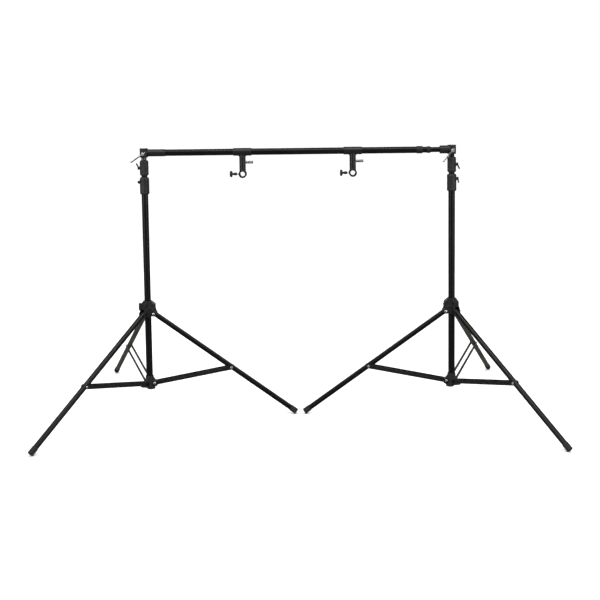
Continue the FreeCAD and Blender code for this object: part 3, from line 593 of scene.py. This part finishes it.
LEG_RADIUS, LEG_HEAD, PLUG_RADIUS = 0.011, -0.004, 0.0097
rubber = foot_rubber()
for side in SIDES:
    for leg in LEGS:
        joint = JOINT[f"{side}_leg_{leg}_fold"]
        pivot = Vector(joint["pos_m"])
        end = far_end(f"{side}_leg_{leg}", pivot, 0.9995)
        # the mean ring can sit a hair off the leg's plane, so it is put back into it
        normal = Vector(joint["axis"]).normalized()
        run = end - pivot
        run -= run.dot(normal) * normal
        direction = run.normalized()
        length = run.length
        # the back legs are drawn olive grey: a painted sheen for the warm light they catch, on the same black
        # anodised tube as the other legs
        tones = ("#24241b", "#34342a") if leg == "back" else ("#030304", "#09090a")
        black = anodised_tube(f"anodised_{side}_{leg}_leg", direction, *tones)
        drawn = turned(tube_outline(LEG_RADIUS, LEG_HEAD, length), pivot, direction, 64, ring=True)
        piece(f"{side}_{leg}_leg_tube", [drawn], f"{side}_leg_{leg}", black,
              [f"{side}_leg_{leg}"])
        plug_end = LEG_HEAD - 0.0005
        leg_plug = turned(softened([(0, plug_end), (PLUG_RADIUS, plug_end), (PLUG_RADIUS, 0.02), (0, 0.02)],
                                   0.0008), pivot, direction, 40)
        piece(f"{side}_{leg}_leg_plug", [leg_plug], f"{side}_leg_{leg}", knob_nylon)

        points, faces = turned(foot_outline(length + 0.005), pivot, direction, 64)
        points[:, 2] = np.maximum(points[:, 2], 0.0)
        piece(f"{side}_{leg}_rubber_foot", [(points, faces)], f"{side}_leg_{leg}", rubber,
              [f"{side}_foot_{leg}"])


# ---- Braces ------------------------------------------------------------------------------
# Two flat steel strips run from the foot casting to each leg, one on either side, with a
# pressed bead along the middle and a plated rivet head where they meet the leg.

def strip_shell(length, half_width, inner, outer, bend=24, rim=0.0005):
    """A strip with round ends in x and z, from y inner to outer: the stadium outline is drawn in by the rim
    on both faces, so that the edge is broken all round."""
    angle = np.concatenate([np.linspace(np.pi / 2, 3 * np.pi / 2, bend),
                            np.linspace(-np.pi / 2, np.pi / 2, bend)])
    shift = np.concatenate([np.zeros(bend), np.full(bend, length)])
    way = 1 if outer > inner else -1
    levels = [(rim, inner), (0, inner + way * rim), (0, outer - way * rim), (rim, outer)]
    rings = [np.stack([shift + (half_width - inset) * np.cos(angle), np.full(2 * bend, y),
                       (half_width - inset) * np.sin(angle)], axis=1) for inset, y in levels]
    points = np.vstack(rings)
    around = 2 * bend
    index = np.arange(4 * around).reshape(4, around)
    following = np.roll(index, -1, axis=1)
    faces = np.stack([index[:-1], following[:-1], following[1:], index[1:]], axis=2).reshape(-1, 4).tolist()
    return points, faces + [index[0].tolist(), index[-1][::-1].tolist()]


def painted_strip():
    """Stove-enamelled steel strip: glossy black over a slightly wavy rolled surface, waves 2.5 mm long."""
    return powder_coat("stove_enamelled_strip", "#09090a", "#111112", 2.5, 0.27)


enamel = painted_strip()
STRIP_HALF, STRIP_INNER, STRIP_OUTER, RIVET_RADIUS = 0.0085, 0.0113, 0.0138, 0.0055
for side in SIDES:
    for leg in LEGS:
        joint = JOINT[f"{side}_brace_{leg}_fold"]
        pivot = Vector(joint["pos_m"])
        normal = Vector(joint["axis"]).normalized()
        run = far_end(f"{side}_brace_{leg}", pivot, 0.985) - pivot
        run -= run.dot(normal) * normal
        direction = run.normalized()
        # the strip's rounded end reaches half its width past the rivet
        reached = (node_points(f"{side}_brace_{leg}") - np.array(pivot)) @ np.array(direction)
        length = float(reached.max()) - STRIP_HALF
        axes = np.array([direction, normal, direction.cross(normal)])
        shells, rivets = [], []
        for way in (-1, 1):
            shells.append(strip_shell(length, STRIP_HALF, way * STRIP_INNER, way * STRIP_OUTER))
            share = np.sin(np.linspace(-np.pi / 2, np.pi / 2, 21))
            swell = np.sqrt(np.clip(1 - share ** 6, 0, 1))
            bead = np.stack([length / 2 + share * (length / 2 - 0.028),
                             np.full(21, way * (STRIP_OUTER - 0.0002)), np.zeros(21)], axis=1)
            shells.append(swept(bead, 0.0028 * swell, 0.0011 * swell, (0, 0, 1), 2.0, 16))
            root = way * (STRIP_OUTER - 0.0006)
            dome = [(RIVET_RADIUS * np.sin(b), way * (STRIP_OUTER + 0.0020 * np.cos(b)))
                    for b in np.linspace(0, np.pi / 2, 7)]
            rivets.append(turned([*dome, (RIVET_RADIUS, root), (0, root)], (length, 0, 0), (0, 1, 0), 32))
        piece(f"{side}_{leg}_brace_strips", [laid(s, pivot, axes) for s in shells], f"{side}_brace_{leg}",
              enamel, [f"{side}_brace_{leg}"])
        piece(f"{side}_{leg}_brace_rivets", [laid(s, pivot, axes) for s in rivets], f"{side}_brace_{leg}",
              zinc)


# ---- Locking collars ---------------------------------------------------------------------
# Moulded nylon collars grip the next tube when their wing screw is tightened. The lower has
# broad shallow flutes, the upper a closer grip of fourteen hollows, and both a screw boss.

def stepped(outline, step, closed=False):
    """The same outline with points no more than about one step apart, so that flutes can bend it."""
    ends = np.roll(outline, -1, axis=0) if closed else outline[1:]
    fine = []
    for start, end in zip(outline, ends):
        count = max(1, int(np.linalg.norm(end - start) / step))
        fine += [start + (end - start) * k / count for k in range(count)]
    return fine if closed else [*fine, outline[-1]]


def collar_shell(column, low_z, tall, radius, bore, flutes, depth):
    """A fluted sleeve about a column: its outline is turned, flutes are pressed into the outside, and every
    point of the bore is pushed back out to the bore's radius, so that the inside stays round."""
    seat = bore + 0.0013
    outline = softened([(seat, 0), (radius - 0.004, 0), (radius - 0.001, 0.003), (radius, 0.007),
                        (radius, 0.010), (radius - 0.0002, 0.0105), (radius - 0.0002, tall - 0.0125),
                        (radius, tall - 0.012), (radius - 0.0004, tall - 0.007),
                        (radius - 0.0015, tall - 0.003), (radius - 0.004, tall), (bore, tall),
                        (bore, tall - 0.007), (seat, tall - 0.009)],
                       0.0012, closed=True)
    points, faces = turned(stepped(outline, 0.003, True), column + Vector((0, 0, low_z)), (0, 0, 1), 140,
                           ring=True, flutes=(flutes, depth, 0.009, tall - 0.011))
    spread = points[:, :2] - np.array(column)[:2]
    distance = np.linalg.norm(spread, axis=1)
    inside = distance < seat + 0.0001
    pushed = np.maximum(distance, bore)[inside] / distance[inside]
    points[inside, :2] = np.array(column)[:2] + spread[inside] * pushed[:, None]
    return points, faces


def wing_screw(root, bore, lean):
    """A hub on the screw's x, a long wing up and a short one down, each a swept bar that leans out as
    share to the 1.2 and ends as an eighth-power curve, and the shank through to the bore."""
    hub = turned(softened([(0, root), (0.006, root), (0.006, root + 0.004), (0.004, root + 0.0062),
                           (0, root + 0.0064)], 0.0012), (0, 0, 0), (1, 0, 0), 32)
    wings = []
    for leaning, reach_up, wide in ((lean, 0.0204, 0.0038), (0.0, -0.0082, 0.0036)):
        share = np.linspace(0, 1, 15)
        line = np.stack([root + 0.0030 + leaning * share ** 1.2, np.zeros(15), reach_up * share], axis=1)
        taper = np.sqrt(np.clip(1 - (2 * np.clip(share, 0.5, 1) - 1) ** 8, 0, 1))
        wings.append(swept(line, wide * taper, 0.0030 * taper, (0, 1, 0), 2.8, 20))
    start = bore + 0.0022
    shank = turned([(0, start), (0.003, start), (0.003, root + 0.001), (0, root + 0.001)],
                   (0, 0, 0), (1, 0, 0), 24)
    return hub, *wings, shank


collar_nylon = moulded_nylon("charcoal_moulded_nylon", "#111112", "#1d1d1e", 0.5)
# each collar's body, its bore's radius, and how many flutes of what depth
COLLARS = {"lower": ("column", 0.0128, 10, 0.0009), "upper": ("middle_riser", 0.0113, 14, 0.0011)}
# how far each screw's long wing leans out from its collar, and how far it is turned
WING_LEAN = {("left", "lower"): 0.002, ("left", "upper"): 0.0085,
             ("right", "lower"): 0.002, ("right", "upper"): 0.0085}
WING_SPIN = {("left", "lower"): 90, ("left", "upper"): 0, ("right", "lower"): 150, ("right", "upper"): 172}
for side, way in (("left", -1), ("right", 1)):
    column = COLUMN[side]
    for place, (body, bore, flutes, depth) in COLLARS.items():
        node = f"{side}_{place}_collar"
        low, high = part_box(node)
        radius = (high.y - low.y) / 2
        joint = JOINT[f"{side}_{place}_knob_turn"]
        screw_line = Vector((column.x, joint["pos_m"][1], joint["pos_m"][2]))
        shell = collar_shell(column, low.z, high.z - low.z, radius, bore, flutes, depth)
        boss = turned(softened([(0.0036, radius - 0.0035), (0.0072, radius - 0.0035), (0.007, radius + 0.002),
                                (0.0062, radius + 0.0025), (0.0036, radius + 0.0025)], 0.0006, closed=True),
                      screw_line, (way, 0, 0), 40, ring=True)
        piece(f"{side}_{place}_nylon_collar", [shell, boss], f"{side}_{body}", collar_nylon,
              [node])
        axes = knob_axes(joint, WING_SPIN[side, place])
        shells = wing_screw(radius + 0.0029, bore, WING_LEAN[side, place])
        piece(f"{side}_{place}_wing_screw", [laid(shell, screw_line, axes) for shell in shells],
              f"{side}_{place}_knob", knob_nylon, [f"{side}_{place}_knob"])


# ---- Crossbar ----------------------------------------------------------------------------
# Three black anodised tubes that draw out like the columns. A thin sleeve stiffens the left
# end, and a fluted twist ring locks each sliding tube.

bar_black = anodised_tube("black_anodised_bar", (1, 0, 0))
for part, body in (("outer", "crossbar"), ("middle", "bar_middle"), ("inner", "bar_inner")):
    node = f"bar_{part}_tube"
    piece(f"bar_{part}_drawn_tube", [tube_shell(node, 0)], body, bar_black, [node])

low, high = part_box("bar_end_sleeve")
bar_line = Vector((0, (low.y + high.y) / 2, (low.z + high.z) / 2))
radius, length = (high.z - low.z) / 2, high.x - low.x
outline = softened([(0.0141, 0), (radius - 0.0003, 0), (radius, 0.0006), (radius, length - 0.008),
                    (radius - 0.0005, length - 0.0075), (radius - 0.0005, length - 0.006),
                    (radius, length - 0.0055), (radius, length - 0.002), (radius - 0.0008, length),
                    (0.0141, length)], 0.0005, closed=True)
piece("bar_end_stiffener", [turned(outline, bar_line + Vector((low.x, 0, 0)), (1, 0, 0), 72, ring=True)],
      "crossbar", knob_nylon, ["bar_end_sleeve"])


def milled(shell, start, length, radius):
    """Presses thirty-six flutes into the outside: depth (0.5 - 0.5 cos(36 angle)), faded at each end."""
    depth, fade_over = 0.0005, 0.001
    points, faces = shell
    spread = points - np.array(bar_line)
    distance = np.linalg.norm(spread[:, 1:], axis=1)
    angle = np.arctan2(spread[:, 2], spread[:, 1])
    along = points[:, 0] - start
    fade = (np.clip((along - 0.002) / fade_over, 0, 1)
            * np.clip((length - 0.004 - along) / fade_over, 0, 1))
    press = depth * fade * (0.5 - 0.5 * np.cos(36 * angle)) * (distance > radius - 0.0006)
    points[:, 1:] = np.array(bar_line)[1:] + spread[:, 1:] * ((distance - press) / distance)[:, None]
    return points, faces


LIP = 0.0032
for label, body, tube_bore, lip_bore in (("outer", "outer_ring", 0.0143, 0.0128),
                                         ("inner", "inner_ring", 0.0128, 0.0113)):
    node = f"bar_{label}_ring"
    low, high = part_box(node)
    radius, length = (high.z - low.z) / 2, high.x - low.x
    outline = softened([(tube_bore, 0), (radius - 0.0008, 0), (radius, 0.0015), (radius, length - 0.003),
                        (radius - 0.0018, length), (lip_bore, length), (lip_bore, length - LIP),
                        (tube_bore, length - LIP)], 0.0008, closed=True)
    shell = turned(stepped(outline, 0.0015, True), bar_line + Vector((low.x, 0, 0)), (1, 0, 0), 144,
                   ring=True)
    piece(f"bar_{label}_twist_ring", [milled(shell, low.x, length, radius)], body, knob_nylon,
          [node])


# ---- Socket heads and lever screws -------------------------------------------------------
# The bar ends in cast sockets that drop over the studs. A nickel-plated screw with a sliding
# lever rod clamps each; the rod has been pushed almost through to one side.

cast_skin("left_head_casting", "crossbar", charcoal)
cast_skin("right_head_casting", "bar_inner", charcoal)
nickel = bright_plate("nickel_plate", "#f4f3ef", 0.3)
drawn_steel = bright_plate("drawn_steel", "#a8a7a2", 0.3)
BOSS_FACE, BOSS_LONG, BOSS_RADIUS = 0.0204, 0.013, 0.0075
ROD_RADIUS, BALL_RADIUS, LONG_END, SHORT_END = 0.0030, 0.0038, 0.058, 0.009


def screw_boss(base):
    """The round boss that the lever slides through, on its screw: two turned shapes along -y."""
    end = BOSS_FACE + BOSS_LONG
    boss = turned(softened([(0, BOSS_FACE), (BOSS_RADIUS - 0.001, BOSS_FACE),
                            (BOSS_RADIUS, BOSS_FACE + 0.0015), (BOSS_RADIUS, end - 0.0025),
                            (BOSS_RADIUS - 0.002, end), (0, end)], 0.0009),
                  base, (0, -1, 0), 48)
    shank = turned([(0, 0.0083), (0.004, 0.0083), (0.004, BOSS_FACE + 0.001), (0, BOSS_FACE + 0.001)],
                   base, (0, -1, 0), 32)
    return boss, shank


def lever_rod(base, way):
    """A rod along a direction, a ball at either end: each ball is an arc from its pole to the rod."""
    bow = np.linspace(np.pi, np.arcsin(ROD_RADIUS / BALL_RADIUS), 9)
    near = [(BALL_RADIUS * np.sin(b), -SHORT_END + BALL_RADIUS * np.cos(b)) for b in bow]
    far = [(r, LONG_END - SHORT_END - z) for r, z in reversed(near)]
    return turned([*near, *far], base + Vector((0, -(BOSS_FACE + BOSS_LONG / 2), 0)), way, 32)


# how far below level each rod's long end has dropped
LEVER_DROP = {"left": 34, "right": 50}
for side in SIDES:
    base = Vector(JOINT[f"{side}_head_screw_turn"]["pos_m"])
    drop = math.radians(LEVER_DROP[side])
    piece(f"{side}_lever_boss", [*screw_boss(base)], f"{side}_head_screw", nickel,
          [f"{side}_head_screw"])
    piece(f"{side}_lever_rod", [lever_rod(base, Vector((-math.cos(drop), 0, -math.sin(drop))))],
          f"{side}_head_screw", drawn_steel)


# ---- Hanging brackets --------------------------------------------------------------------
# A cast saddle slides on the bar; its stem ends in an open ring, 20 mm across, for a rod.
# A round thumb screw closes on the rod and a knurled plated screw locks the saddle.

def thumb_grip(base):
    """A turned neck and disc along -x, with twelve smooth hollows pressed into the disc's rim."""
    outline = softened([(0, 0.023), (0.0052, 0.023), (0.0063, 0.028), (0.0063, 0.033), (0.0045, 0.039),
                        (0.0045, 0.043), (0.0110, 0.0432), (0.0135, 0.0455), (0.0135, 0.0510),
                        (0.0108, 0.0540), (0.0040, 0.0536), (0, 0.0534)], 0.0014)
    return turned(stepped(outline, 0.0012), base, (-1, 0, 0), 120, flutes=(12, 0.0011, 0.0425, 0.0545))


def knurled_head(base):
    """A long round head along x: a plain collar, a groove, and twenty-four shallow flutes to its end."""
    first, last, radius = 0.0139, 0.0449, 0.0060
    outline = softened([(0, first), (0.0048, first), (radius, first + 0.0012), (radius, first + 0.006),
                        (0.0055, first + 0.0068), (0.0055, first + 0.010), (radius, first + 0.0108),
                        (radius, last - 0.0012), (0.0048, last), (0.0020, last - 0.0006), (0, last - 0.0006)],
                       0.0005)
    head = turned(stepped(outline, 0.0015), base, (1, 0, 0), 96,
                  flutes=(24, 0.0004, first + 0.0108, last - 0.001))
    shank = turned([(0, 0.004), (0.004, 0.004), (0.004, first + 0.001), (0, first + 0.001)],
                   base, (1, 0, 0), 24)
    return head, shank


bracket_black = powder_coat("black_powder_coat", "#09090a", "#121213", 0.6, 0.38)
for side in SIDES:
    cast_skin(f"{side}_bracket", f"{side}_bracket", bracket_black, 0.0008, 8)
    low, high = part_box(f"{side}_bracket")
    ring_centre = (low.x + high.x) / 2

    joint = JOINT[f"{side}_bracket_knob_turn"]
    base = Vector((ring_centre, joint["pos_m"][1], joint["pos_m"][2]))
    piece(f"{side}_thumb_grip", [thumb_grip(base)], f"{side}_bracket_knob", knob_nylon,
          [f"{side}_bracket_knob"])
    shank = turned([(0, 0.0105), (0.003, 0.0105), (0.003, 0.024), (0, 0.024)], base, (-1, 0, 0), 24)
    piece(f"{side}_thumb_shank", [shank], f"{side}_bracket_knob", zinc)

    joint = JOINT[f"{side}_bracket_screw_turn"]
    base = Vector((ring_centre, joint["pos_m"][1], joint["pos_m"][2]))
    piece(f"{side}_knurled_screw", [*knurled_head(base)], f"{side}_bracket_screw", drawn_steel,
          [f"{side}_bracket_screw"])
